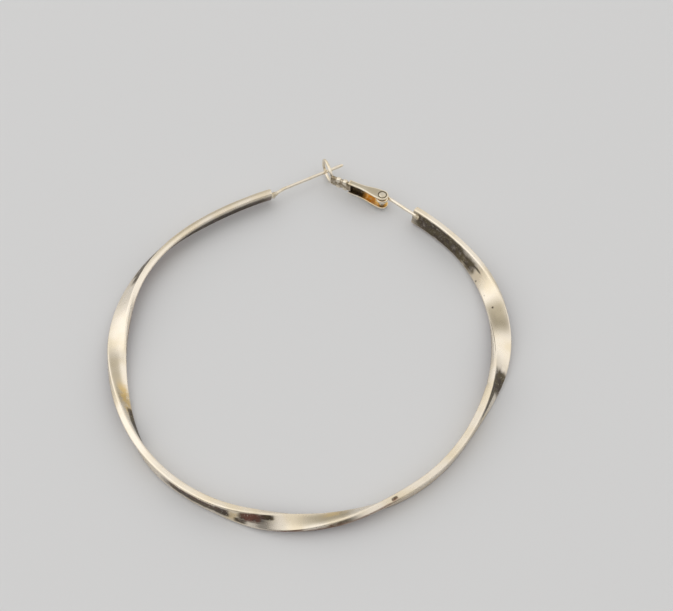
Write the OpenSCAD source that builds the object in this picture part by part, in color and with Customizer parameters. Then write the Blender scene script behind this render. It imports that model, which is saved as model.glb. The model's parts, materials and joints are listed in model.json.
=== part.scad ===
// Twisted hoop earring: a flat band bent into an open hoop and turned about its own line,
// an ear post, and a lever whose loop closes round the post. It lies on a table, +Z up.
// Points are first given about the hoop's own centre, and place() moves them all at the end.

/* [Band] */
// Radius of the round hoop to the middle of the band, before its bends
hoop_r = 37.4; // [37.3:0.1:37.5]
// Lean of the upright band where it starts
first_lean = 20; // [18:1:22]
// Thickness of the flat band
band_thickness = 1.4; // [1.3:0.05:1.4]
// Radius of the band's rounded long edges
band_edge_radius = 0.36; // [0.3:0.02:0.44]
// Radius that rounds the band's two cut ends
band_end_radius = 0.3; // [0.15:0.05:0.35]
// Angle round the hoop where the band starts, beside the ear post
band_start_deg = 104; // [103:0.5:105]
// Angle round the hoop where the band ends, beside the lever's hinge
band_end_deg = 414; // [413.5:0.5:414.5]
// Height of the band's centre line at the bottom of the hoop
band_low_z = 1.68; // [1.62:0.01:1.74]
// Height of the band's centre line at the top of the hoop
band_high_z = 2.4; // [2.3:0.05:2.5]

/* [Ear post] */
// Diameter of the ear post wire
post_d = 0.7; // [0.65:0.01:0.7]
// Length of the straight post from its bend to its tip
post_length = 14.6; // [14.2:0.1:14.6]
// Direction of the post, counted from +X
post_deg = 27.7; // [27.5:0.1:28.5]
// Length of the tapered tip
post_taper = 1; // [0.8:0.1:1.2]
// Diameter at the end of the tapered tip
post_tip_d = 0.32; // [0.28:0.02:0.4]

/* [Hinge] */
// Height of the clasp's middle above the table
clasp_z = 2.4; // [2.4:0.01:2.5]
// Diameter of the hinge pin
pin_d = 1.1; // [1.0:0.05:1.1]
// Gap between the pin and the eye that it turns in
eye_gap = 0.06; // [0.05:0.01:0.08]
// Gap between the pin and the cheeks that carry it
cheek_gap = 0.02; // [0.02:0.01:0.04]
// Diameter of the hinge arm wire
arm_d = 0.78; // [0.7:0.02:0.78]
// Height of the hinge arm above the clasp's middle
arm_rise = 0.3; // [0.2:0.05:0.4]
// Direction of the hinge arm as it leaves its eye
arm_deg = -36.6; // [-37:0.1:-36]
// Diameter of the pin's domed heads
head_d = 1.5; // [1.4:0.05:1.6]

/* [Lever] */
// Height of the lever over both cheeks
lever_height = 3.3; // [3.1:0.1:3.3]
// Thickness of the lever's sheet
sheet = 0.4; // [0.35:0.05:0.45]
// Direction of the lever from its loop to its hinge
lever_deg = -27; // [-28:0.5:-26]
// Radius of the cheeks' round end
cheek_r = 1.3; // [1.25:0.05:1.35]
// Half the lever's width where the cheeks join the neck
waist_r = 0.62; // [0.58:0.02:0.66]
// Distance from the pin to the start of the straight waist
waist_at = 4.6; // [4.2:0.2:5]
// Distance from the pin to the neck
neck_at = 7.6; // [7.4:0.1:7.8]
// Distance from the pin to the neck's far end
neck_end = 11.8; // [11.7:0.1:11.9]

/* [Loop] */
// Diameter of the loop's wire
loop_wire_d = 0.66; // [0.6:0.02:0.66]
// Radius of the loop's round ends, to the middle of the wire
loop_r = 2.05; // [2.0:0.01:2.05]
// Length of the loop's straight sides
loop_straight = 0.9; // [0.9:0.1:1.1]
// Direction of the loop's plane, counted from +X
loop_deg = 111; // [110:0.5:112]

/* [Hidden] */
$fn = 64;

// Where the band turns about its own line, a row for each turn: the turn's middle round the hoop,
// the angle that it is spread over, and how far the band turns
MIDDLE = 0;
SPREAD = 1;
TURNED = 2;
TURNS = [
    [145, 50,  20],
    [193, 75, 145],
    [271, 60, 170],
    [360, 80, 174]
];

// The band's width at places round the hoop: wide where it was gripped to be turned
WIDTHS = [
    [104, 3.6],
    [150, 4.1],
    [172, 4.0],
    [195, 3.4],
    [235, 2.9],
    [256, 3.5],
    [275, 2.8],
    [350, 3.9]
];

// Where the hoop is bent out of round, a row for each bend: its middle, its reach, and how far it goes out
REACH = 1;
OUT = 2;
BENDS = [
    [120, 28, -2.3],
    [222, 22,  1.5],
    [257, 32,  1.6],
    [330, 18, -0.9],
    [410, 25, -1.1]
];
BAND_RINGS = 150;
END_RINGS = 4;
CORNER_POINTS = 5;

// Where the post is soldered on, where its straight part starts, the pin, and the loop's far end
post_root = [-8.15, 34.3];
post_start = [-6.3, 35.9];
pin_at = [14.8, 33.2];
loop_outer_end = [2.4, 43.3];

// The arm's straight length, how far its line passes beside the pin, and the size of its eye
arm_straight = 7.05;
arm_side = 0.92;
eye_outer_r = 1.35;
eye_height = 0.9;

// Depth of the dimples that the pin's heads sit in, and the space round each head
dimple_depth = 0.15;
head_gap = 0.06;

// The band's centre line rises evenly between these two places along Y
low_y = -28;
high_y = 43;

post_r = post_d / 2;
arm_r = arm_d / 2;
pin_r = pin_d / 2;
arm_z = clasp_z + arm_rise;

function along(angle, length) = length * [cos(angle), sin(angle)];
function heading(from, to) = atan2(to[1] - from[1], to[0] - from[0]);
function unit(v) = v / norm(v);
function lift(p, z) = [p[0], p[1], z];
function smallest(list, axis) = min([for (p = list) p[axis]]);
function largest(list, axis) = max([for (p = list) p[axis]]);

// The band's radius, twist and width at an angle round the hoop. The twist is the turn about the
// band's own line, and 0 stands the band upright.
function sum(list) = list * [for (value = list) 1];
function bell(x) = exp(-x * x);
function ease(x) = let (t = min(max(x, 0), 1)) t * t * (3 - 2 * t);
function band_radius(angle) =
    hoop_r + sum([for (bend = BENDS) bend[OUT] * bell((angle - bend[MIDDLE]) / bend[REACH])]);
function band_twist(angle) =
    first_lean + sum([for (turn = TURNS) turn[TURNED] * ease((angle - turn[MIDDLE]) / turn[SPREAD] + 0.5)]);
function band_width(angle) = lookup(angle, WIDTHS);

// Centre line, outward direction, and the directions across and through the band
function band_height(y) = band_low_z + (y - low_y) * (band_high_z - band_low_z) / (high_y - low_y);
function band_centre(angle) =
    let (p = along(angle, band_radius(angle))) lift(p, band_height(p[1]));
function band_outward(angle) =
    let (t = band_centre(angle + 0.5) - band_centre(angle - 0.5)) unit([t[1], -t[0], 0]);
function across(angle) = cos(band_twist(angle)) * [0, 0, 1] - sin(band_twist(angle)) * band_outward(angle);
function through(angle) = cos(band_twist(angle)) * band_outward(angle) + sin(band_twist(angle)) * [0, 0, 1];

// Rounded rectangle of the band's section, made smaller on every side by inset
function section(width, inset) =
    let (r = max(band_edge_radius - inset, 0.1),
        a = band_thickness / 2 - inset - r,
        b = width / 2 - inset - r)
    [for (corner = [0:3], k = [0:CORNER_POINTS - 1])
        let (turn = 90 * corner + 90 * k / (CORNER_POINTS - 1),
            side = [(corner == 0 || corner == 3) ? a : -a, corner < 2 ? b : -b])
        side + along(turn, r)];
function band_ring(angle, inset) =
    let (c = band_centre(angle), n = through(angle), w = across(angle))
    [for (p = section(band_width(angle), inset)) c + p[0] * n + p[1] * w];

// Rings along the band: where each lies, and how far its section is drawn in to round the cut ends
function degrees_of(length) = length / hoop_r * 180 / PI;
END_PROFILE = [
    for (k = [0:END_RINGS - 1])
        let (turn = 90 * k / END_RINGS)
        [degrees_of(band_end_radius * (1 - cos(turn))), band_end_radius * (1 - sin(turn))]
];
plain_start = band_start_deg + degrees_of(band_end_radius);
plain_end = band_end_deg - degrees_of(band_end_radius);
RINGS = concat(
    [for (k = [0:END_RINGS - 1]) [band_start_deg + END_PROFILE[k][0], END_PROFILE[k][1]]],
    [for (i = [0:BAND_RINGS]) [plain_start + i * (plain_end - plain_start) / BAND_RINGS, 0]],
    [for (k = [END_RINGS - 1:-1:0]) [band_end_deg - END_PROFILE[k][0], END_PROFILE[k][1]]]
);
BAND_POINTS = [for (ring = RINGS) each band_ring(ring[0], ring[1])];

// The arm's straight wire from its eye to the band's end
arm_leave = pin_at + along(arm_deg + 90, arm_side);
arm_tip = arm_leave + along(arm_deg, arm_straight);

// Solder sleeves, a row for each: the wire's end, its height and its direction, and the sleeve's
// length and radius. A sleeve starts sleeve_back before the wire's end.
SLEEVES = [
    [post_root, clasp_z, heading(post_start, post_root), 1.6, 0.55],
    [arm_tip, arm_z, arm_deg, 2.2, 0.52]
];
SLEEVE_SIDES = 8;
sleeve_back = 0.4;

// The loop's centre, and the middle of the whole earring's box
loop_middle = loop_outer_end - along(loop_deg, loop_r + loop_straight / 2);
box_top_y = loop_outer_end[1] + loop_wire_d / 2;
origin = [
    (smallest(BAND_POINTS, 0) + largest(BAND_POINTS, 0)) / 2,
    (smallest(BAND_POINTS, 1) + box_top_y) / 2,
    min(smallest(BAND_POINTS, 2), clasp_z - loop_r - loop_wire_d / 2)
];

// Moves a piece so that the middle of the earring's box is over the origin and the table is z = 0
module place() {
    translate(-origin)
        children();
}

// Straight round wire between two points seen from above
module rod(from, to, r) {
    translate(lift(from, 0))
        rotate([0, 90, heading(from, to)])
            cylinder(r = r, h = norm(to - from));
}

module twisted_band() {
    n = 4 * CORNER_POINTS;
    last = (len(RINGS) - 1) * n;
    sides = [
        for (i = [0:len(RINGS) - 2], j = [0:n - 1])
            let (a = i * n + j, b = i * n + (j + 1) % n)
            each [[a, b, b + n], [a, b + n, a + n]]
    ];
    caps = [for (j = [1:n - 2]) each [[0, j + 1, j], [last, last + j, last + j + 1]]];
    polyhedron(BAND_POINTS, concat(sides, caps));
}

// Wire through the ear: a steep root at the band's end, a bend, and the straight post with a tapered tip
module ear_post() {
    chamfer = 0.1;
    overlap = 0.1;
    length = post_length + overlap;
    root_r = 1.15 * post_r;
    translate([0, 0, clasp_z]) {
        rod(post_root, post_start + overlap * unit(post_start - post_root), root_r);
        translate(lift(post_start - along(post_deg, overlap), 0))
            rotate([0, 90, post_deg])
                rotate_extrude()
                    polygon([
                        [0, 0],
                        [post_r, 0],
                        [post_r, length - post_taper],
                        [post_tip_d / 2, length - chamfer],
                        [post_tip_d / 4, length],
                        [0, length]
                    ]);
    }
}

// Wire that carries the lever: an eye round the pin, and a straight run to the band's other end
module hinge_arm() {
    translate([0, 0, arm_z]) {
        difference() {
            union() {
                translate(lift(pin_at, 0))
                    cylinder(r = eye_outer_r, h = eye_height, center = true);
                rod(arm_leave, arm_tip, arm_r);
            }
            translate(lift(pin_at, 0))
                cylinder(r = pin_r + eye_gap, h = 2 * eye_height, center = true);
        }
    }
}

// Solder round the wires' ends, half sunk in the band's two ends
module solder() {
    for (sleeve = SLEEVES)
        translate(lift(sleeve[0] - along(sleeve[2], sleeve_back), sleeve[1]))
            rotate([0, 90, sleeve[2]])
                cylinder(r = sleeve[4], h = sleeve[3], $fn = SLEEVE_SIDES);
}

module hoop() {
    color("#d9ccab")
        place()
            union() {
                twisted_band();
                ear_post();
                hinge_arm();
                solder();
            }
}

// Outline of a cheek: a round end at the pin that narrows along straight flanks to an even waist
module cheek_outline() {
    lean = asin((cheek_r - waist_r) / waist_at);
    circle(r = cheek_r);
    translate([-waist_at, 0])
        circle(r = waist_r);
    polygon([
        along(90 + lean, cheek_r),
        [-waist_at, 0] + along(90 + lean, waist_r),
        [-waist_at, 0] + along(-90 - lean, waist_r),
        along(-90 - lean, cheek_r)
    ]);
    translate([-neck_at, -waist_r])
        square([neck_at - waist_at, 2 * waist_r]);
}

// Space inside the channel: open towards the hoop's middle, and all round the pin
module channel_outline() {
    lean = asin((cheek_r - waist_r) / waist_at);
    back_end = 2;
    back_v = (cheek_r - back_end * sin(lean)) / cos(lean) - sheet;
    far = 3;
    polygon([
        [-neck_at, waist_r - sheet],
        [-waist_at, waist_r - sheet],
        [-back_end, back_v],
        [-back_end, far],
        [far, far],
        [far, -far],
        [-neck_at, -far]
    ]);
}

// Rectangle with round corners, centred
module rounded(width, height, r) {
    square([width - 2 * r, height], center = true);
    square([width, height - 2 * r], center = true);
    for (x = [-1, 1], y = [-1, 1])
        translate([x * (width / 2 - r), y * (height / 2 - r)])
            circle(r = r);
}

// Bead crimped round the neck, rounded as seen along the neck and as seen from its side
module collar(at, length, width, height) {
    intersection() {
        translate([at - length / 2, 0, 0])
            rotate([90, 0, 90])
                linear_extrude(length)
                    rounded(width, height, width * 0.49);
        translate([at, width, 0])
            rotate([90, 0, 0])
                linear_extrude(2 * width)
                    rounded(length, height, length * 0.4);
    }
}

// Neck between the cheeks and the loop: a core with two collars and a bead at the loop
module neck() {
    core_w = 0.9;
    core_h = 2.3;
    translate([-neck_end, 0, 0])
        rotate([90, 0, 90])
            linear_extrude(neck_end - neck_at + 0.3)
                rounded(core_w, core_h, core_w * 0.49);
    collar(-8.75, 1.05, 1.2, 2.85);
    collar(-10.3, 1.05, 1.2, 2.85);
    collar(-11.5, 0.7, 1, 1.9);
}

// Oval loop that stands upright round the ear post
module loop() {
    wire_r = loop_wire_d / 2;
    translate(lift(loop_middle, clasp_z))
        rotate([90, 0, loop_deg])
            for (side = [-1, 1]) {
                translate([side * loop_straight / 2, 0, 0])
                    rotate([0, 0, 90 * side - 180])
                        rotate_extrude(angle = 180)
                            translate([loop_r, 0])
                                circle(r = wire_r);
                translate([-loop_straight / 2, side * loop_r, 0])
                    rotate([0, 90, 0])
                        cylinder(r = wire_r, h = loop_straight);
            }
}

module lever() {
    color("#cfc2a2")
        place()
            union() {
                loop();
                translate(lift(pin_at, clasp_z))
                    rotate([0, 0, lever_deg]) {
                        neck();
                        difference() {
                            linear_extrude(lever_height, center = true)
                                cheek_outline();
                            linear_extrude(lever_height - 2 * sheet, center = true)
                                channel_outline();
                            cylinder(r = pin_r + cheek_gap, h = 2 * lever_height, center = true);
                            for (side = [-1, 1])
                                translate([0, 0, side * lever_height / 2])
                                    cylinder(r = head_d / 2 + head_gap, h = 2 * dimple_depth, center = true);
                        }
                    }
            }
}

// Rivet through the cheeks and the eye, with a low dome at each end
module hinge_pin() {
    seat_gap = 0.02;
    head_h = 0.22;
    head_r = head_d / 2;
    dome_r = 2.4;
    floor_z = lever_height / 2 - dimple_depth + seat_gap;
    color("#b9ab8c")
        place()
            translate(lift(pin_at, clasp_z)) {
                cylinder(r = pin_r, h = 2 * floor_z, center = true);
                for (side = [0, 1])
                    mirror([0, 0, side])
                        translate([0, 0, floor_z])
                            intersection() {
                                cylinder(r = head_r, h = head_h);
                                translate([0, 0, head_h - dome_r])
                                    sphere(r = dome_r);
                            }
            }
}

hoop();
lever();
hinge_pin();
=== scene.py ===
import json
import math

import bpy
import numpy as np
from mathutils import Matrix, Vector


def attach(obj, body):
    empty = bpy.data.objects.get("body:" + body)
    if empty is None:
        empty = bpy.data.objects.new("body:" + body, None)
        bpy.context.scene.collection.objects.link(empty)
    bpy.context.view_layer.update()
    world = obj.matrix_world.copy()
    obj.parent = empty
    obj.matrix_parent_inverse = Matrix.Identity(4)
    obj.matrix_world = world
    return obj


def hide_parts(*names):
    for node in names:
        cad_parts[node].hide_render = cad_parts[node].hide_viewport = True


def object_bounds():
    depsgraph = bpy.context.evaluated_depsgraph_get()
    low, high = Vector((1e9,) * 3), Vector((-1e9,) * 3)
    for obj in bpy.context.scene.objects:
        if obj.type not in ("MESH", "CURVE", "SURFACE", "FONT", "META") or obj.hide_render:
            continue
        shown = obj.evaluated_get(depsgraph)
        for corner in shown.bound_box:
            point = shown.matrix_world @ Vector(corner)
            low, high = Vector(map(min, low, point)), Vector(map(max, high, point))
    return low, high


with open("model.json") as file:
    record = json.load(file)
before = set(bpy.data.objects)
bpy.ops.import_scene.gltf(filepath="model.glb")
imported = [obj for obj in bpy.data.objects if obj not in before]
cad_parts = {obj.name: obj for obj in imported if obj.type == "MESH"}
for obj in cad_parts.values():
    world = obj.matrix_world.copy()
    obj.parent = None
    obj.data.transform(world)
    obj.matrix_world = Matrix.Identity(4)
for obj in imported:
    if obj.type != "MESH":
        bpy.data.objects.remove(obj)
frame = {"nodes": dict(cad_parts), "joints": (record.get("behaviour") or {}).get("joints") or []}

MM = 0.001
cad_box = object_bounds()

# Table and viewpoint
# The earring lies flat on a plain pale table top of painted board. It is seen from the side of the
# hoop's lowest part and from above, as a person who sits at the table sees it.
TABLE_SIZE = 3.0
TABLE_COLOUR = (0.68, 0.685, 0.695, 1)
TABLE_ROUGHNESS = 0.75
VIEW_ELEVATION = math.radians(57)
VIEW_DISTANCE = 230 * MM
VIEW_TARGET = np.array([5.2, 6.6, 0]) * MM
FOCAL_PIXELS = 1145
IMAGE_WIDTH_PIXELS = 673
SENSOR_WIDTH_MM = 36

half = TABLE_SIZE / 2
table_mesh = bpy.data.meshes.new("table_top")
table_mesh.from_pydata(
    [(-half, -half, 0), (half, -half, 0), (half, half, 0), (-half, half, 0)], [], [(0, 1, 2, 3)])
table = bpy.data.objects.new("table_top", table_mesh)
bpy.context.scene.collection.objects.link(table)
paint = bpy.data.materials.new("table_paint")
paint.use_nodes = True
paint_shader = paint.node_tree.nodes["Principled BSDF"]
paint_shader.inputs["Base Color"].default_value = TABLE_COLOUR
paint_shader.inputs["Roughness"].default_value = TABLE_ROUGHNESS
table_mesh.materials.append(paint)

camera_data = bpy.data.cameras.new("camera")
camera_data.sensor_width = SENSOR_WIDTH_MM
camera_data.lens = FOCAL_PIXELS / IMAGE_WIDTH_PIXELS * SENSOR_WIDTH_MM
camera_data.clip_start = 1 * MM
camera_data.clip_end = 20
camera = bpy.data.objects.new("camera", camera_data)
sight = np.array([0, math.cos(VIEW_ELEVATION), -math.sin(VIEW_ELEVATION)])
camera.location = VIEW_TARGET - VIEW_DISTANCE * sight
camera.rotation_euler = (math.pi / 2 - VIEW_ELEVATION, 0, 0)
bpy.context.scene.collection.objects.link(camera)
bpy.context.scene.camera = camera

# Studio light
# A room with a pale ceiling and pale walls behind and at the sides, and a dark front, so that the
# plating's faces turn from bright to deep as the band twists. Two large soft panels shape the shadows.
ROOM_STRENGTH = 0.82
ROOM_GLOW = (1.0, 0.985, 0.96, 1)
ROOM_DARK = (0.045, 0.04, 0.042, 1)
PALE_SIDE = (0, 0.62, 0.78)
GLOW_STARTS, GLOW_FULL = -0.50, 0.12
PANELS = [
    # name, place and side in metres, watts
    ("panel_left", (-0.95, 0.1, 1.1), 2.0, 4.5),
    ("panel_right", (1.0, 0.5, 0.9), 1.5, 1.5),
]

world = bpy.data.worlds.new("studio")
bpy.context.scene.world = world
world.use_nodes = True
nodes, links = world.node_tree.nodes, world.node_tree.links
direction = nodes.new("ShaderNodeTexCoord")
depth = nodes.new("ShaderNodeVectorMath")
depth.operation = "DOT_PRODUCT"
depth.inputs[1].default_value = PALE_SIDE
links.new(direction.outputs["Generated"], depth.inputs[0])
glow = nodes.new("ShaderNodeMapRange")
glow.interpolation_type = "SMOOTHSTEP"
glow.inputs["From Min"].default_value = GLOW_STARTS
glow.inputs["From Max"].default_value = GLOW_FULL
links.new(depth.outputs["Value"], glow.inputs["Value"])
shade = nodes.new("ShaderNodeMix")
shade.data_type = "RGBA"
shade.inputs[6].default_value = ROOM_DARK
shade.inputs[7].default_value = ROOM_GLOW
links.new(glow.outputs["Result"], shade.inputs["Factor"])
links.new(shade.outputs[2], nodes["Background"].inputs["Color"])
nodes["Background"].inputs["Strength"].default_value = ROOM_STRENGTH


def soft_panel(name, place, size, power):
    """A square area light of the given size and place in metres that faces the middle of the table top."""
    light = bpy.data.lights.new(name, "AREA")
    light.shape = "SQUARE"
    light.size = size
    light.energy = power
    panel = bpy.data.objects.new(name, light)
    panel.location = place
    tilt = math.acos(place[2] / math.dist(place, (0, 0, 0)))
    panel.rotation_euler = (tilt, 0, math.atan2(place[1], place[0]) + math.pi / 2)
    bpy.context.scene.collection.objects.link(panel)


for row in PANELS:
    soft_panel(*row)
bpy.context.scene.view_settings.view_transform = "Standard"

# Twisted band
# One flat strip of brass, bent into an open hoop and turned one and a half times about its own line
# on the way, with soft edges, then plated pale gold and polished. Wear and tarnishing darken parts of it,
# and painted dark reflections and painted shade darken more of it.
HOOP_RADIUS = 37.4
FIRST_LEAN = 20
TURNS = np.array([
    # middle of the turn round the hoop, angle it is spread over, degrees turned
    (145, 50, 20),
    (193, 75, 145),
    (271, 60, 170),
    (360, 80, 174),
])
WIDTHS = np.array([
    # place round the hoop and the band's width there
    (104, 3.6), (150, 4.1), (172, 4.0), (195, 3.4), (235, 2.9), (256, 3.5), (275, 2.8), (350, 3.9),
])
BENDS = np.array([
    # middle of the bend, its reach, and how far it goes out
    (120, 28, -2.3),
    (222, 22, 1.5),
    (257, 32, 1.6),
    (330, 18, -0.9),
    (410, 25, -1.1),
])
BAND_START, BAND_END = 104, 414
BAND_THICKNESS = 1.4
EDGE_RADIUS = 0.36
END_RADIUS = 0.3
LOW_Y, HIGH_Y = -28, 43
LOW_Z, HIGH_Z = 1.68, 2.4
WIRE_Z = 2.4
PIN_AT = np.array([14.8, 33.2])
HOOP_CENTRE = np.array(frame["joints"][0]["pos_m"]) / MM - np.append(PIN_AT, WIRE_Z)
UP = np.array([0, 0, 1.0])
STAINS = {
    # for each kind of mark, partly real tarnishing, stains and tone and partly painted dark reflections and
    # painted shade: angle round the hoop, share of the way round the section, half length in degrees, half
    # width as a share, and amount
    # dark patches: partly real tarnishing, partly painted dark reflections and painted shade
    "tarnish": [
        (121, 0.42, 20, 0.10, 0.85), (150, 0.95, 9, 0.08, 1.0), (155, 0.87, 6, 0.07, 0.9),
        (159, 0.95, 4, 0.09, 0.9), (207.5, 0.96, 2.5, 0.07, 0.9), (212, 0.98, 5, 0.13, 1.0),
        (239, 0.42, 10.4, 0.09, 0.95), (247, 0.42, 2.6, 0.10, 1.0), (255.5, 0.43, 3.8, 0.08, 0.95),
        (259.3, 0.465, 2.1, 0.045, 1.0), (252.8, 0.345, 2.0, 0.045, 0.9), (262, 0.22, 8, 0.05, 0.7),
        (275, 0.14, 8, 0.05, 0.6), (288, 0.07, 9, 0.05, 0.5), (294, 0.14, 1, 0.03, 0.9),
        (341, 0.27, 1, 0.04, 0.8), (343.5, 0.88, 4.2, 0.14, 1.0), (337, 0.95, 8, 0.07, 0.8),
        (358, 0.03, 8, 0.014, 0.8), (369.5, 0.93, 0.4, 0.015, 1.0), (375, 0.97, 0.3, 0.01, 0.9),
        (381.5, 0.98, 0.3, 0.01, 0.9), (385, 0.86, 3.2, 0.014, 1.0), (388, 0.91, 4, 0.11, 0.8),
        (401, 0.90, 14, 0.13, 1.0),
    ],
    "ruddy": [
        (255.5, 0.44, 3.0, 0.10, 1.0), (266, 0.20, 12, 0.08, 1.0), (286, 0.07, 12, 0.07, 1.0),
        (300, 0.90, 20, 0.10, 0.5), (225, 0.55, 25, 0.12, 0.6),
    ],
    "golden": [
        (202.5, 0.92, 5.5, 0.09, 1.0), (206, 0.04, 4, 0.05, 0.6), (250.8, 0.40, 1.6, 0.07, 0.7),
        (278, 0.46, 4, 0.06, 0.5), (391, 0.92, 5, 0.08, 0.5), (140, 0.80, 14, 0.08, 0.3),
        (159, 0.90, 4, 0.10, 0.4),
    ],
    "film": [
        (127, 0.09, 26, 0.045, 0.7), (196, 0.85, 10, 0.08, 0.75), (275.5, 0.41, 7.5, 0.10, 0.9),
        (366, 0.90, 6.2, 0.14, 0.95), (350, 0.20, 14, 0.06, 0.35),
    ],
}
DENTS = [
    # angle, share round the section, radius and depth in mm
    (294, 0.14, 0.35, 0.06),
    (341, 0.24, 0.45, 0.10),
    (387, 0.97, 0.30, 0.07),
    (390, 0.99, 0.35, 0.09),
    (391, 0.97, 0.25, 0.06),
    (384, 0.98, 0.20, 0.05),
    (376, 0.98, 0.20, 0.06),
    (348, 0.87, 0.50, 0.05),
    (358, 0.80, 0.30, 0.04),
]


def ease(t):
    """Three t squared less two t cubed, with t held between nought and one."""
    t = np.clip(t, 0, 1)
    return t * t * (3 - 2 * t)


def band_radius(angle):
    """The hoop's radius plus, for each bend, how far it goes out times the bell curve of the distance over
    its reach."""
    middle, reach, out = BENDS.T
    return HOOP_RADIUS + (out * np.exp(-((angle[:, None] - middle) / reach) ** 2)).sum(1)


def band_twist(angle):
    """The first lean plus, for each turn, its degrees times the ease of the place along its spread."""
    middle, spread, turned = TURNS.T
    return FIRST_LEAN + (turned * ease((angle[:, None] - middle) / spread + 0.5)).sum(1)


def band_width(angle):
    """Straight lines through the widths in the table."""
    return np.interp(angle, *WIDTHS.T)


def band_centre(angle):
    """Radius times the direction of the angle, at a height that rises evenly with y."""
    radius, turn = band_radius(angle), np.radians(angle)
    x, y = radius * np.cos(turn), radius * np.sin(turn)
    return np.stack([x, y, LOW_Z + (y - LOW_Y) * (HIGH_Z - LOW_Z) / (HIGH_Y - LOW_Y)], -1)


def band_frame(angle):
    """Centre, the direction across the band and the direction through it: the upright and the outward
    direction turned together by the twist."""
    step = band_centre(angle + 0.5) - band_centre(angle - 0.5)
    outward = np.stack([step[:, 1], -step[:, 0], 0 * angle], -1)
    outward /= np.linalg.norm(outward, axis=1)[:, None]
    twist = np.radians(band_twist(angle))[:, None]
    across = np.cos(twist) * UP - np.sin(twist) * outward
    return band_centre(angle), across, np.cos(twist) * outward + np.sin(twist) * UP


def round_rectangle(thickness, width, radius, corner=9, edge=4, face=14):
    """Offsets round a rectangle whose corners are quarter circles: for each corner the arc's centre plus the
    radius times the direction of its angle, and between corners an even share of the straight side. The
    result holds, for each row of widths, one pair of offsets through and across for each point."""
    a, b = thickness / 2 - radius, width / 2 - radius
    signs = ((1, 1), (-1, 1), (-1, -1), (1, -1))
    parts = []
    for quarter, (sign_a, sign_b) in enumerate(signs):
        next_a, next_b = signs[(quarter + 1) % 4]
        turn = np.radians(90 * quarter + np.linspace(0, 90, corner))
        arc = np.stack([
            (sign_a * a)[:, None] + radius[:, None] * np.cos(turn),
            (sign_b * b)[:, None] + radius[:, None] * np.sin(turn)], -1)
        last = math.radians(90 * quarter + 90)
        after = np.stack([next_a * a + radius * math.cos(last), next_b * b + radius * math.sin(last)], -1)
        straight = np.linspace(0, 1, (edge, face)[quarter % 2] + 2)[1:-1, None]
        parts += [arc, arc[:, -1:] + (after[:, None] - arc[:, -1:]) * straight]
    return np.concatenate(parts, 1)


def surface_mesh(name, points, closed_along=False, masks=None):
    """A mesh from a grid of points in mm about the hoop's centre, with one row for each station along the
    piece and rows closed on themselves. Each point is joined to its neighbours in its row and in the next
    row, and an open end is filled by one flat face. The faces are turned round where the sum of
    a . (b x c) over them, six times the volume, is negative. UV holds the share of the length and the
    share of the way round, and each mask becomes a point attribute."""
    rows, columns, _ = points.shape
    points = (points + HOOP_CENTRE) * MM
    last = rows if closed_along else rows - 1
    i, j = np.meshgrid(np.arange(last), np.arange(columns), indexing="ij")
    n, k = (i + 1) % rows, (j + 1) % columns
    quads = [i * columns + j, i * columns + k, n * columns + k, n * columns + j]
    quads = np.stack(quads, -1).reshape(-1, 4)
    u0, v0, u1, v1 = i / last, j / columns, (i + 1) / last, (j + 1) / columns
    uv = np.stack([u0, v0, u0, v1, u1, v1, u1, v0], -1).reshape(-1, 4, 2)
    flat = points.reshape(-1, 3)
    a, b, c, d = (flat[quads[:, corner]] for corner in range(4))
    caps = [] if closed_along else [np.arange(columns)[::-1], last * columns + np.arange(columns)]
    volume = (a * (np.cross(b, c) + np.cross(c, d))).sum()
    if volume < 0:
        quads, uv, caps = quads[:, ::-1], uv[:, ::-1], [cap[::-1] for cap in caps]
    loops = np.concatenate([quads.reshape(-1), *caps])
    sizes = np.concatenate([np.full(len(quads), 4), np.full(len(caps), columns)]).astype(int)
    cap_uv = [
        np.stack([np.full(columns, float(end)), cap % columns / columns], -1)
        for end, cap in enumerate(caps)]
    uv = np.concatenate([uv.reshape(-1, 2), *cap_uv]).astype(np.float32)
    mesh = bpy.data.meshes.new(name)
    mesh.vertices.add(len(flat))
    mesh.vertices.foreach_set("co", flat.reshape(-1).astype(np.float32))
    mesh.loops.add(len(loops))
    mesh.loops.foreach_set("vertex_index", loops.astype(np.int32))
    mesh.polygons.add(len(sizes))
    mesh.polygons.foreach_set("loop_start", np.concatenate([[0], np.cumsum(sizes)[:-1]]).astype(np.int32))
    mesh.polygons.foreach_set("use_smooth", np.ones(len(sizes), bool))
    mesh.uv_layers.new(name="UVMap").data.foreach_set("uv", uv.reshape(-1))
    for title, values in (masks or {}).items():
        attribute = mesh.attributes.new(title, "FLOAT", "POINT")
        attribute.data.foreach_set("value", values.reshape(-1).astype(np.float32))
    mesh.update()
    piece = bpy.data.objects.new(name, mesh)
    bpy.context.scene.collection.objects.link(piece)
    return piece


BAND_ROWS = 1150
END_ROWS = 8
LEAST_EDGE_RADIUS = 0.12
FULLY_UNDER = 0.8

# The section draws in round a quarter circle at each end
turn = np.linspace(0, np.pi / 2, END_ROWS, endpoint=False)
degree_mm = math.radians(1) * HOOP_RADIUS
end_degrees = END_RADIUS / degree_mm
from_end = END_RADIUS * (1 - np.cos(turn)) / degree_mm
angles = np.concatenate([
    BAND_START + from_end,
    np.linspace(BAND_START + end_degrees, BAND_END - end_degrees, BAND_ROWS),
    (BAND_END - from_end)[::-1]])
end_inset = END_RADIUS * (1 - np.sin(turn))
inset = np.concatenate([end_inset, np.zeros(BAND_ROWS), end_inset[::-1]])
centre, across, through = band_frame(angles)
corner_radius = np.maximum(EDGE_RADIUS - inset, LEAST_EDGE_RADIUS)
offsets = round_rectangle(BAND_THICKNESS - 2 * inset, band_width(angles) - 2 * inset, corner_radius)
columns = offsets.shape[1]
share = np.arange(columns) / columns


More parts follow.
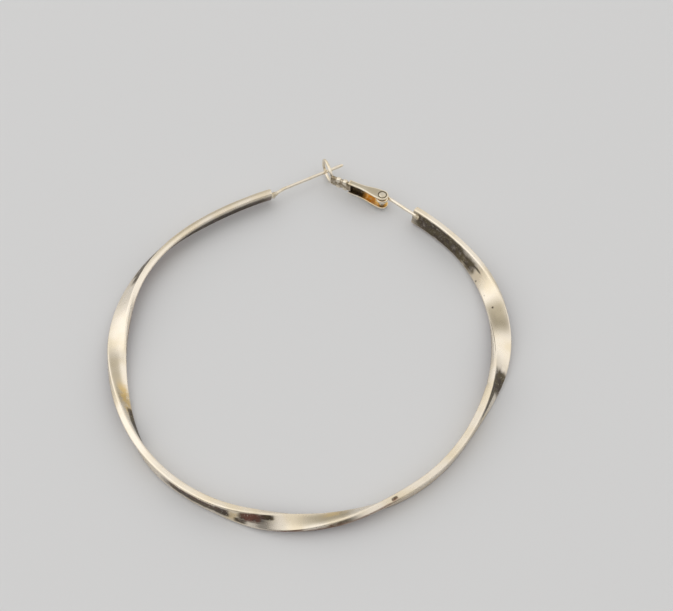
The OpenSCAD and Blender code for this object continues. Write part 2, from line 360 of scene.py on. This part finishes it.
def patches(table):
    """The largest of the table's patches at each grid point: its amount times the bell curve, to the fourth
    power, of the distances along and round the band, each over its half size."""
    strength = np.zeros((len(angles), columns))
    for angle, place, half_length, half_width, amount in table:
        round_distance = (share - place + 0.5) % 1 - 0.5
        bell = np.exp(-((angles[:, None] - angle) / half_length) ** 4 - (round_distance / half_width) ** 4)
        strength = np.maximum(strength, amount * bell)
    return strength


# Each dent draws the surface in by its depth times a bell curve of the distance over its radius
size = np.linalg.norm(offsets, axis=-1, keepdims=True)
for angle, place, radius, depth in DENTS:
    row = np.argmin(np.abs(angles - angle))
    column = int(round(place * columns)) % columns
    along_mm = (angles - angle)[:, None] * degree_mm
    spread = np.linalg.norm(offsets - offsets[row, column], axis=-1)
    push = depth * np.exp(-(along_mm / radius) ** 2 - (spread / radius) ** 2)
    offsets = offsets * (1 - push[..., None] / size)
points = centre[:, None] + offsets[..., :1] * through[:, None] + offsets[..., 1:] * across[:, None]
low, high = (np.array(corner) / MM - HOOP_CENTRE for corner in cad_box)
masks = {kind: patches(table) for kind, table in STAINS.items()}

# The painted shade on faces that look down grows with how far the face, taken as that of an ellipse, looks
# down
facing = offsets * [1, (BAND_THICKNESS / band_width(angles).mean()) ** 2]
facing /= np.linalg.norm(facing, axis=-1, keepdims=True)
down = -(facing[..., 0] * through[:, None, 2] + facing[..., 1] * across[:, None, 2])
masks["under"] = ease(down / FULLY_UNDER)
band = surface_mesh("twisted_band", np.clip(points, low, high), masks=masks)
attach(band, "hoop")
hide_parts("hoop")


NUMBER, VECTOR, COLOUR = "NodeSocketFloat", "NodeSocketVector", "NodeSocketColor"
PLATING_INPUTS = [
    # title, kind, start value
    ("Place", VECTOR, None),
    ("Along", VECTOR, None),
    ("Pale", COLOUR, (0.9, 0.84, 0.74, 1)),
    ("Warm", COLOUR, (0.8, 0.68, 0.48, 1)),
    ("Deep Gold", COLOUR, (0.70, 0.51, 0.23, 1)),
    ("Brown", COLOUR, (0.055, 0.038, 0.03, 1)),
    ("Olive", COLOUR, (0.11, 0.088, 0.05, 1)),
    ("Tarnish", NUMBER, 0.0),
    ("Ruddy Brown", COLOUR, (0.19, 0.075, 0.055, 1)),
    ("Grey Film", COLOUR, (0.40, 0.345, 0.245, 1)),
    ("Golden", NUMBER, 0.0),
    ("Ruddy", NUMBER, 0.0),
    ("Film", NUMBER, 0.0),
    ("Under", NUMBER, 0.0),
    ("Scale", NUMBER, 150.0),
    ("Base Roughness", NUMBER, 0.16),
    ("Roughness Spread", NUMBER, 0.12),
    ("Specks", NUMBER, 0.3),
]
PATCH_SCALE, FINE_SCALE, STREAK_SCALE = 4.5, 22, 0.35
# Share of the ruddy brown painted as shade on faces that look down
UNDER_SHARE = 0.85
# Darkening: real tarnishing together with painted dark reflections and painted shade
TARNISH_GAIN, TARNISH_FLOOR = 1.1, 0.76
TARNISH_STARTS, TARNISH_FULL = 0.14, 0.84
TARNISH_ROUGHNESS = 0.16
BRUSH_HEIGHT, PIT_HEIGHT = 0.05, -0.35


def plating_group():
    """Shader group for polished plating. Colour: a pale and a warm gold mixed by broad noise, greyed by the
    film mask, deepened by the golden mask times noise and turned ruddy brown by painted shade on the side
    that faces down; the film and golden masks are partly the plating's own tone and partly painted
    reflection. Dark tarnishing, painted dark reflections and painted shade lie over that: their mask times
    what the sum of patchy and broad noise and of streaks along the piece has over a floor, with fine noise
    that wears holes in it, or small specks where these are stronger. Its brown and olive are mixed by
    patchy noise, and a ruddy brown takes their place where the ruddy mask is. Roughness: the base value,
    plus patchy noise, plus the darkening. Height: broad waves, fine marks that run along the piece, and
    pits where it is tarnished."""
    group = bpy.data.node_groups.new("plating", "ShaderNodeTree")
    nodes, links = group.nodes, group.links
    for title, kind, start in PLATING_INPUTS:
        socket = group.interface.new_socket(name=title, in_out="INPUT", socket_type=kind)
        if start is not None:
            socket.default_value = start
    for title, kind in (("Color", COLOUR), ("Roughness", NUMBER), ("Height", NUMBER)):
        group.interface.new_socket(name=title, in_out="OUTPUT", socket_type=kind)
    given, result = nodes.new("NodeGroupInput").outputs, nodes.new("NodeGroupOutput").inputs

    def math_node(kind, *values):
        node = nodes.new("ShaderNodeMath")
        node.operation = kind
        for socket, value in zip(node.inputs, values):
            if isinstance(value, (int, float)):
                socket.default_value = value
            else:
                links.new(value, socket)
        return node.outputs[0]

    def noise(vector, factor, detail):
        node = nodes.new("ShaderNodeTexNoise")
        node.inputs["Detail"].default_value = detail
        links.new(vector, node.inputs["Vector"])
        links.new(math_node("MULTIPLY", given["Scale"], factor), node.inputs["Scale"])
        return node.outputs["Fac"]

    def ramp(value, low, high, top=1.0):
        node = nodes.new("ShaderNodeMapRange")
        node.interpolation_type = "SMOOTHSTEP"
        node.inputs["From Min"].default_value = low
        node.inputs["From Max"].default_value = high
        node.inputs["To Max"].default_value = top
        links.new(value, node.inputs["Value"])
        return node.outputs["Result"]

    def mix(factor, one, other):
        node = nodes.new("ShaderNodeMix")
        node.data_type = "RGBA"
        links.new(factor, node.inputs["Factor"])
        links.new(one, node.inputs[6])
        links.new(other, node.inputs[7])
        return node.outputs[2]

    broad = noise(given["Place"], 1, 2)
    patchy = noise(given["Place"], PATCH_SCALE, 4)
    fine = noise(given["Place"], FINE_SCALE, 3)
    brushed = noise(given["Along"], 1, 4)
    streaks = noise(given["Along"], STREAK_SCALE, 3)
    colour = mix(ramp(broad, 0.4, 0.68), given["Pale"], given["Warm"])
    colour = mix(given["Film"], colour, given["Grey Film"])
    colour = mix(math_node("MULTIPLY", given["Golden"], ramp(patchy, 0.25, 0.6)), colour, given["Deep Gold"])
    colour = mix(math_node("MULTIPLY", given["Under"], UNDER_SHARE), colour, given["Ruddy Brown"])
    uneven = math_node("ADD", math_node("MULTIPLY_ADD", patchy, 1.2, broad), streaks)
    excess = math_node("SUBTRACT", math_node("MULTIPLY", uneven, TARNISH_GAIN), TARNISH_FLOOR)
    stain = ramp(math_node("MULTIPLY", given["Tarnish"], excess), TARNISH_STARTS, TARNISH_FULL)
    speck = math_node("MULTIPLY", ramp(fine, 0.66, 0.74), given["Specks"])
    worn = math_node("SUBTRACT", 0.96, ramp(fine, 0.58, 0.80, 0.8))
    stain = math_node("MAXIMUM", math_node("MULTIPLY", stain, worn), speck)
    dark = mix(ramp(patchy, 0.42, 0.58), given["Brown"], given["Olive"])
    dark = mix(math_node("MULTIPLY", given["Ruddy"], ramp(patchy, 0.3, 0.5)), dark, given["Ruddy Brown"])
    colour = mix(stain, colour, dark)
    links.new(colour, result["Color"])
    rough = math_node("MULTIPLY_ADD", patchy, given["Roughness Spread"], given["Base Roughness"])
    links.new(math_node("MULTIPLY_ADD", stain, TARNISH_ROUGHNESS, rough), result["Roughness"])
    height = math_node("MULTIPLY_ADD", brushed, BRUSH_HEIGHT, broad)
    pits = math_node("MULTIPLY", ramp(fine, 0.5, 0.72), given["Tarnish"])
    links.new(math_node("MULTIPLY_ADD", pits, PIT_HEIGHT, height), result["Height"])
    return group


plating = plating_group()
BRUSH_ALONG, BRUSH_ROUND = 0.0012, 0.06


def plated_metal(name, length_mm, girth_mm, values, relief_mm, masks=()):
    """Metal shader fed by the plating group. The broad patterns lie on Object coordinates, the brushed marks
    on UV stretched to the piece's length and girth, and each named mask is read from the mesh."""
    material = bpy.data.materials.new(name)
    material.use_nodes = True
    nodes, links = material.node_tree.nodes, material.node_tree.links
    shader = nodes["Principled BSDF"]
    shader.inputs["Metallic"].default_value = 1
    place = nodes.new("ShaderNodeTexCoord")
    stretch = nodes.new("ShaderNodeMapping")
    stretch.inputs["Scale"].default_value = (length_mm * BRUSH_ALONG, girth_mm * BRUSH_ROUND, 1)
    effect = nodes.new("ShaderNodeGroup")
    effect.node_tree = plating
    for title, value in values.items():
        effect.inputs[title].default_value = value
    for title in masks:
        mask = nodes.new("ShaderNodeAttribute")
        mask.attribute_name = title.lower()
        links.new(mask.outputs["Fac"], effect.inputs[title])
    relief = nodes.new("ShaderNodeBump")
    relief.inputs["Strength"].default_value = 1
    relief.inputs["Distance"].default_value = relief_mm * MM
    links.new(place.outputs["Object"], effect.inputs["Place"])
    links.new(place.outputs["UV"], stretch.inputs["Vector"])
    links.new(stretch.outputs["Vector"], effect.inputs["Along"])
    links.new(effect.outputs["Color"], shader.inputs["Base Color"])
    links.new(effect.outputs["Roughness"], shader.inputs["Roughness"])
    links.new(effect.outputs["Height"], relief.inputs["Height"])
    links.new(relief.outputs["Normal"], shader.inputs["Normal"])
    return material


band_values = {
    "Pale": (0.92, 0.84, 0.72, 1), "Warm": (0.86, 0.755, 0.58, 1), "Scale": 170.0,
    "Base Roughness": 0.20, "Roughness Spread": 0.16, "Specks": 0.25}
band_plating = plated_metal(
    "band_plating", length_mm=202, girth_mm=8.8, values=band_values, relief_mm=0.05,
    masks=("Tarnish", "Ruddy", "Golden", "Film", "Under"))
band.data.materials.append(band_plating)

# Ear post
# Straight brass wire, plated, that goes through the ear. It leaves the band's end in a short steep
# root, bends level and ends in a filed tip; pale solder holds the root to the band.
POST_START = np.array([-6.3, 35.9])
POST_ROOT = np.array([-8.45, 34.04])
POST_DEGREES = 27.7
POST_LENGTH = 14.6
POST_RADIUS = 0.35
# The root's bend begins and ends this far from the straight part's start, round a corner just past it
BEND_REACH, BEND_OVERSHOOT = 0.9, 0.15
STRAIGHT_FROM = 0.95
TAPER_LENGTH = 1.1
TIP = [
    # place from the post's end and share of its radius there
    (-1.0, 1.0), (-0.7, 0.97), (-0.35, 0.86), (-0.12, 0.66), (-0.04, 0.45), (0.0, 0.12),
]


def along(degrees):
    """Unit direction of an angle seen from above."""
    return np.array([math.cos(math.radians(degrees)), math.sin(math.radians(degrees))])


def tube(name, path, radii, plane=UP, sides=28, closed=False):
    """Round wire on a flat path: round each path point, the radius times the cosine of an angle beside the
    path plus its sine along the normal of the path's plane."""
    ahead = np.roll(path, -1, 0) - np.roll(path, 1, 0) if closed else np.gradient(path, axis=0)
    ahead /= np.linalg.norm(ahead, axis=1)[:, None]
    beside = np.cross(ahead, plane)
    turn = np.linspace(0, 2 * np.pi, sides, endpoint=False)
    ring = np.cos(turn)[None, :, None] * beside[:, None] + np.sin(turn)[None, :, None] * plane
    return surface_mesh(name, path[:, None] + radii[:, None, None] * ring, closed_along=closed)


def smooth_path(corners, count, z):
    """Evenly spaced points on the curve that Bernstein's weights draw through the given corners."""
    t = np.linspace(0, 1, count)[:, None]
    degree = len(corners) - 1
    weights = [math.comb(degree, k) * t ** k * (1 - t) ** (degree - k) for k in range(degree + 1)]
    weights = np.concatenate(weights, 1)
    return np.column_stack([weights @ np.array(corners), np.full(count, float(z))])


root_run = (POST_START - POST_ROOT) / np.linalg.norm(POST_START - POST_ROOT)
bend = smooth_path([
    POST_ROOT, POST_START - BEND_REACH * root_run, POST_START + BEND_OVERSHOOT * root_run,
    POST_START + BEND_REACH * along(POST_DEGREES)], 40, WIRE_Z)
run = np.concatenate([
    np.linspace(STRAIGHT_FROM, POST_LENGTH - TAPER_LENGTH, 60),
    np.linspace(POST_LENGTH - TAPER_LENGTH + 0.02, POST_LENGTH, 30)])
straight = np.column_stack([POST_START + run[:, None] * along(POST_DEGREES), np.full(len(run), WIRE_Z)])
place, part = np.array(TIP).T
taper = POST_RADIUS * np.interp(run, POST_LENGTH + place, part)
path = np.concatenate([bend, straight])
post = tube("ear_post", path, np.concatenate([np.full(len(bend), POST_RADIUS), taper]))
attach(post, "hoop")
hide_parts("hoop")
wire_values = {
    "Pale": (0.91, 0.83, 0.70, 1), "Warm": (0.84, 0.74, 0.56, 1), "Scale": 500.0,
    "Base Roughness": 0.14, "Roughness Spread": 0.14, "Specks": 0.35}
wire_plating = plated_metal(
    "wire_plating", length_mm=17, girth_mm=2.2, values=wire_values, relief_mm=0.02)
post.data.materials.append(wire_plating)


# Start and end of each solder run, and its radii from one to the other
ROOT_SOLDER = np.array([[-8.75, 33.95], [-7.35, 34.99]])
ROOT_SOLDER_RADII = [0.5, 0.66, 0.6, 0.44, 0.36]
TIP_SOLDER = np.array([[21.3, 28.7], [22.35, 27.6]])
TIP_SOLDER_RADII = [0.2, 0.44, 0.54, 0.5, 0.28]


def solder_lump(name, start, end, radii, z, wobble):
    """Solder run round a wire's end: circles whose radius goes through the given values from start to end,
    each the mean of its seven neighbours and nearly closed at both ends, times one plus the wobble of two
    sines of the place and the angle."""
    t = np.linspace(0, 1, 40)
    radius = np.interp(t, np.linspace(0, 1, len(radii)), radii)
    radius = np.convolve(np.pad(radius, 3, mode="edge"), np.ones(7) / 7, "valid")
    radius[[0, -1]] = 0.04
    radius[[1, -2]] *= 0.7
    path = np.column_stack([start + t[:, None] * (end - start), np.full(len(t), float(z))])
    ahead = (path[-1] - path[0]) / np.linalg.norm(path[-1] - path[0])
    turn = np.linspace(0, 2 * np.pi, 32, endpoint=False)
    ring = np.cos(turn)[None, :, None] * np.cross(ahead, UP) + np.sin(turn)[None, :, None] * UP
    lumps = 1 + wobble * (np.sin(3 * turn + 9 * t[:, None]) + np.sin(2 * turn - 14 * t[:, None] + 1)) / 2
    return surface_mesh(name, path[:, None] + (radius[:, None] * lumps)[..., None] * ring)


solder_values = {
    "Pale": (0.80, 0.74, 0.62, 1), "Warm": (0.66, 0.55, 0.38, 1), "Scale": 700.0,
    "Base Roughness": 0.24, "Roughness Spread": 0.22, "Specks": 0.8, "Tarnish": 0.25}
solder_plating = plated_metal(
    "solder_plating", length_mm=2, girth_mm=3, values=solder_values, relief_mm=0.04)
root_solder = solder_lump("root_solder", *ROOT_SOLDER, ROOT_SOLDER_RADII, WIRE_Z, 0.12)
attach(root_solder, "hoop")
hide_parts("hoop")
root_solder.data.materials.append(solder_plating)

# Hinge arm
# Brass wire that carries the lever. One end is wound once round the pin to make an eye. The other runs
# to the band, bends in and up a little, and is soldered half sunk into the inner face of its end.
ARM_DEGREES = -36.6
ARM_Z = 2.7
ARM_RADIUS = 0.37
EYE_RADIUS = 0.94
EYE_SWEEP = 318
ARM_RISE = 0.45
ARM_END = [[20.5, 29.65], [21.25, 28.85], [22.0, 28.05]]
SOLDER_DROP = 0.15

sweep = np.radians(np.linspace(ARM_DEGREES + 90 - EYE_SWEEP, ARM_DEGREES + 90, 90))
eye_x, eye_y = PIN_AT[0] + EYE_RADIUS * np.cos(sweep), PIN_AT[1] + EYE_RADIUS * np.sin(sweep)
eye = np.column_stack([eye_x, eye_y, np.full(len(sweep), ARM_Z)])
leave = PIN_AT + EYE_RADIUS * along(ARM_DEGREES + 90)
run = smooth_path([
    leave + 0.1 * along(ARM_DEGREES), leave + 2.2 * along(ARM_DEGREES - 1),
    leave + 5.0 * along(ARM_DEGREES - 2), *ARM_END], 110, ARM_Z)
run[:, 2] += ARM_RISE * ease(np.linspace(-0.8, 1, len(run)))
path = np.concatenate([eye, run])
radii = np.full(len(path), ARM_RADIUS)
radii[:4] *= [0.2, 0.7, 0.9, 0.98]
radii[-5:] *= [0.99, 0.95, 0.85, 0.65, 0.2]
arm = tube("hinge_arm", path, radii)
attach(arm, "hoop")
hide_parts("hoop")
arm.data.materials.append(wire_plating)

tip_solder = solder_lump(
    "tip_solder", *TIP_SOLDER, TIP_SOLDER_RADII, ARM_Z + ARM_RISE - SOLDER_DROP, 0.14)
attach(tip_solder, "hoop")
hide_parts("hoop")
tip_solder.data.materials.append(solder_plating)

# Lever cheeks
# Thin brass sheet, cut to a tapering shape with round ends, folded into a channel that is open towards
# the hoop's middle, pressed to a low crown and plated; each cheek is dimpled round the pin's head.
LEVER_DEGREES = -27
LEVER_HEIGHT = 3.3
SHEET = 0.4
CHEEK_RADIUS, WAIST_RADIUS, FLANK, NECK_AT = 1.3, 0.62, 5.6, 7.6
BACK_END = 2.0
DIMPLE_RADIUS, DIMPLE_DEPTH, DIMPLE_EDGE = 0.86, 0.15, 0.24
CROWN = 0.04
# Painted shade inside the channel starts this far from the pin and grows over this reach
TARNISH_FROM, TARNISH_REACH = 2.6, 3.5


def lever_place(u, v, z):
    """Point in the hoop's frame from its place along and beside the lever's line, measured from the pin."""
    ahead, beside = along(LEVER_DEGREES), along(LEVER_DEGREES + 90)
    flat = PIN_AT + u[..., None] * ahead + v[..., None] * beside
    return np.concatenate([flat, (WIRE_Z + z)[..., None]], -1)


def half_width(u):
    """The waist's half width, growing to the cheek's towards the pin by half of one plus the cosine of the
    share of the flank's length."""
    share = np.clip(-u / FLANK, 0, 1)
    return WAIST_RADIUS + (CHEEK_RADIUS - WAIST_RADIUS) * (1 + np.cos(np.pi * share)) / 2


def channel_tarnish(u):
    """Painted shade inside the channel: the ease of how far the place lies towards the neck."""
    return ease((-u - TARNISH_FROM) / TARNISH_REACH)


def cheek_outline(inset, count=60, steps=64):
    """Closed outline drawn in by inset: a half circle round the pin, curved flanks down to the waist,
    straight sides to the neck, and back."""
    turn = np.linspace(-np.pi / 2, np.pi / 2, count)
    arc = (CHEEK_RADIUS - inset) * np.stack([np.cos(turn), np.sin(turn)], -1)
    u = np.linspace(0, -NECK_AT - 0.2 + inset, steps)[1:]
    upper = np.stack([u, half_width(u) - inset], -1)
    return np.concatenate([arc, upper, (upper * [1, -1])[::-1]])


def cheek_surface(side):
    """One cheek: outlines at growing insets over its outer face, then at shrinking insets over its inner
    face, joined by a half round rim. Towards the middle the outlines shrink to the line from the pin to the
    neck. The outer face rises to a low crown away from the rim and sinks by a smooth step inside the dimple's
    radius. The gold mask is one on the inner face, a deep gold that is partly the sheet's own tone and partly
    painted reflection of the cheeks in each other, and painted shade there grows towards the neck. Outside,
    the film mask is highest away from the bright rim, and painted shade fills a ring round the pin's head."""
    rim = np.linspace(0, np.pi / 2, 7)
    rim_radius = SHEET / 2
    insets = np.concatenate([
        rim_radius * (1 - np.cos(rim)), np.linspace(rim_radius, WAIST_RADIUS - 0.02, 9)[1:]])
    rings = np.stack([cheek_outline(inset) for inset in insets])
    spine = np.stack([np.clip(rings[-1, :, 0], -NECK_AT, 0), 0 * rings[-1, :, 0]], -1)
    fill = 0.995 * np.linspace(0, 1, 20)[1:, None, None] ** 0.8
    rings = np.concatenate([rings, rings[-1] + (spine - rings[-1]) * fill])
    height = np.full(len(rings), rim_radius)
    height[:len(rim)] = rim_radius * np.sin(rim)
    crown = CROWN * ease((np.arange(len(rings)) - len(rim) + 1) / 12)
    u, v = rings[..., 0], rings[..., 1]
    dimple = DIMPLE_DEPTH * ease((DIMPLE_RADIUS + DIMPLE_EDGE / 2 - np.hypot(u, v)) / DIMPLE_EDGE)
    outer = (height + crown)[:, None] - dimple
    inner = -height[:, None] + 0 * u
    gold = np.concatenate([0 * u[::-1], 1 + 0 * u[1:]])
    gold[len(rings) - 1:len(rings) + 3] = 0
    u, v = np.concatenate([u[::-1], u[1:]]), np.concatenate([v[::-1], v[1:]])
    z = np.concatenate([outer[::-1], inner[1:]])
    seat = (1 - gold) * np.exp(-((np.hypot(u, v) - DIMPLE_RADIUS) / 0.1) ** 4)
    # painted shade in the channel and in the ring round the pin's head
    stain = np.maximum(gold * channel_tarnish(u), seat)
    dull = ease((np.arange(len(rings)) - len(rim) + 2) / 5)[:, None] + 0 * rings[..., 0]
    dull = (1 - gold) * np.concatenate([dull[::-1], dull[1:]])
    points = lever_place(u, v, side * (LEVER_HEIGHT / 2 - SHEET / 2 + z))
    return points, {"golden": gold, "tarnish": stain, "film": 0.75 * dull}


def back_wall():
    """Wall that joins the cheeks along the outer side: a thin rounded rectangle, upright, carried along the
    flank from the neck to where the fold ends near the pin."""
    half_sheet = SHEET / 2
    fold_end = -BACK_END - half_sheet
    rounding = half_sheet * np.sin(np.linspace(0, np.pi / 2, 8))
    u = np.concatenate([np.linspace(-NECK_AT - 0.1, fold_end, 50), fold_end + rounding[1:]])
    shrink = np.sqrt(np.clip(1 - np.clip((u - fold_end) / half_sheet, 0, 1) ** 2, 0.02, 1))
    section = round_rectangle(
        SHEET * shrink, np.full(len(u), LEVER_HEIGHT - SHEET), 0.08 * shrink + 0.005,
        corner=5, edge=2, face=10)
    v = half_width(u)[:, None] - half_sheet + section[..., 0]
    # Its inner side gets the deep gold mask, partly the sheet's own tone and partly painted reflection of the
    # cheeks in each other, and painted shade that grows towards the neck
    gold = (section[..., 0] < 0.1) * 1.0
    points = lever_place(u[:, None] + 0 * v, v, section[..., 1])
    return points, {"golden": gold, "tarnish": gold * channel_tarnish(u[:, None])}


lever_values = {
    "Pale": (0.88, 0.81, 0.68, 1), "Warm": (0.82, 0.71, 0.52, 1), "Deep Gold": (0.83, 0.50, 0.14, 1),
    "Scale": 420.0, "Base Roughness": 0.24, "Roughness Spread": 0.14, "Specks": 0.3}
lever_plating = plated_metal(
    "lever_plating", length_mm=16, girth_mm=7, values=lever_values, relief_mm=0.03,
    masks=("Golden", "Tarnish", "Film"))
for name, (points, masks) in (
        ("upper_cheek", cheek_surface(1)), ("lower_cheek", cheek_surface(-1)), ("channel_back", back_wall())):
    cheek = surface_mesh(name, points, masks=masks)
    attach(cheek, "lever")
    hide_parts("lever")
    cheek.data.materials.append(lever_plating)

# Lever neck and loop
# The cheeks' tongues are crimped round a short core with three rounded collars, the last one smaller.
# The core carries an oval loop of plated wire that stands upright and closes round the ear post.
NECK_END = 11.8
CORE_WIDTH, CORE_HEIGHT, CORE_ROUND = 0.9, 2.3, 0.4
COLLARS = [
    # place along the lever, length, width, height
    (-8.70, 1.00, 1.20, 2.85),
    (-10.25, 1.00, 1.15, 2.80),
    (-11.50, 0.70, 1.00, 1.90),
]
GROOVE_DEPTH, GROOVE_HALF_HEIGHT = 0.55, 0.42
LOOP_RADIUS, LOOP_STRAIGHT, LOOP_WIRE, LOOP_DEGREES = 2.05, 0.9, 0.33, 111
LOOP_OUTER_END = np.array([2.4, 43.29])


def collar_surface(place, length, width, height):
    """Pillow round the lever's line: rounded rectangles whose half sizes follow a flat-topped bulge from end
    to end, one minus the fourth power of the place, to the power of two fifths. A groove at half height,
    where the two crimped tongues meet, draws the sides in by a bell curve of the height and is tarnished."""
    t = np.sin(np.linspace(-np.pi / 2, np.pi / 2, 26))
    bulge = np.clip(1 - t ** 4, 0.0005, 1) ** 0.4
    cut = (1 - bulge) * length * 0.42
    section = round_rectangle(
        width - 2 * cut, height - 2 * cut, (width - 2 * cut) * 0.46, corner=8, edge=3, face=30)
    groove = np.exp(-(section[..., 1] / GROOVE_HALF_HEIGHT) ** 2)
    u = place + t * length / 2
    v = section[..., 0] * (1 - GROOVE_DEPTH * groove)
    points = lever_place(u[:, None] + 0 * v, v, section[..., 1])
    return points, {"tarnish": 0.9 * groove, "golden": 0.5 * groove}


def core_surface():
    """Even rounded rectangle along the lever's line from inside the cheeks to the loop."""
    u = np.array([-NECK_END - 0.25, -NECK_END - 0.2, -NECK_END, -10, -8, -NECK_AT + 0.25, -NECK_AT + 0.3])
    shrink = np.array([0.1, 0.8, 1, 1, 1, 1, 0.8])
    section = round_rectangle(
        CORE_WIDTH * shrink, CORE_HEIGHT * shrink, CORE_ROUND * shrink, corner=8, edge=1, face=6)
    return lever_place(u[:, None] + 0 * section[..., 0], section[..., 0], section[..., 1]), {}


core_plating = plated_metal(
    "core_plating", length_mm=5, girth_mm=6, values=dict(lever_values, Tarnish=0.55, Golden=0.3),
    relief_mm=0.03)
neck = [("neck_core", core_surface(), core_plating)]
neck += [(f"collar_{k + 1}", collar_surface(*row), lever_plating) for k, row in enumerate(COLLARS)]
for name, (points, masks), plate in neck:
    piece = surface_mesh(name, points, masks=masks)
    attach(piece, "lever")
    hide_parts("lever")
    piece.data.materials.append(plate)

loop_middle = LOOP_OUTER_END - (LOOP_RADIUS + LOOP_STRAIGHT / 2) * along(LOOP_DEGREES)
turn = np.radians(np.concatenate([np.linspace(-90, 90, 50), np.linspace(90, 270, 50)]))
shift = np.repeat([LOOP_STRAIGHT / 2, -LOOP_STRAIGHT / 2], 50)
out = (shift + LOOP_RADIUS * np.cos(turn))[:, None] * along(LOOP_DEGREES)
path = np.column_stack([loop_middle + out, WIRE_Z + LOOP_RADIUS * np.sin(turn)])
loop_plane = np.append(along(LOOP_DEGREES + 90), 0.0)
loop = tube("ear_loop", path, np.full(len(path), LOOP_WIRE), loop_plane, closed=True)
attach(loop, "lever")
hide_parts("lever")
loop.data.materials.append(wire_plating)

# Hinge pin
# Brass rivet through both cheeks and the arm's eye. Its two ends are hammered to low domes that sit in
# the cheeks' dimples.
PIN_RADIUS, HEAD_RADIUS, HEAD_HEIGHT = 0.55, 0.75, 0.22
HEAD_EDGE = 0.05
SEAT_GAP = 0.02

half_up = LEVER_HEIGHT / 2 - DIMPLE_DEPTH + SEAT_GAP
turn = np.linspace(0, np.pi / 2, 12)
head_r = np.concatenate([HEAD_RADIUS * np.cos(turn[::-1]) ** 0.8 + 0.004, [HEAD_RADIUS, PIN_RADIUS]])
dome_z = half_up + HEAD_EDGE + (HEAD_HEIGHT - HEAD_EDGE) * np.sin(turn[::-1])
head_z = np.concatenate([dome_z, [half_up, half_up]])
radius = np.concatenate([head_r, head_r[::-1]])
height = np.concatenate([head_z, -head_z[::-1]])
turn = np.linspace(0, 2 * np.pi, 40, endpoint=False)
ring = np.stack([np.cos(turn), np.sin(turn), 0 * turn], -1)
points = np.append(PIN_AT, WIRE_Z) + radius[:, None, None] * ring + height[:, None, None] * UP
pin = surface_mesh("hinge_pin_rivet", points)
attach(pin, "lever")
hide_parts("hinge_pin")
pin_plating = plated_metal(
    "pin_plating", length_mm=3, girth_mm=4, values=dict(lever_values, Specks=0.6, Tarnish=0.15, Film=0.4),
    relief_mm=0.02)
pin.data.materials.append(pin_plating)

# Solids under the finished pieces
# The plain solids keep the same plating, for the views in which they show.
for name, material in (("hoop", band_plating), ("lever", lever_plating), ("hinge_pin", pin_plating)):
    frame["nodes"][name].data.materials.clear()
    frame["nodes"][name].data.materials.append(material)
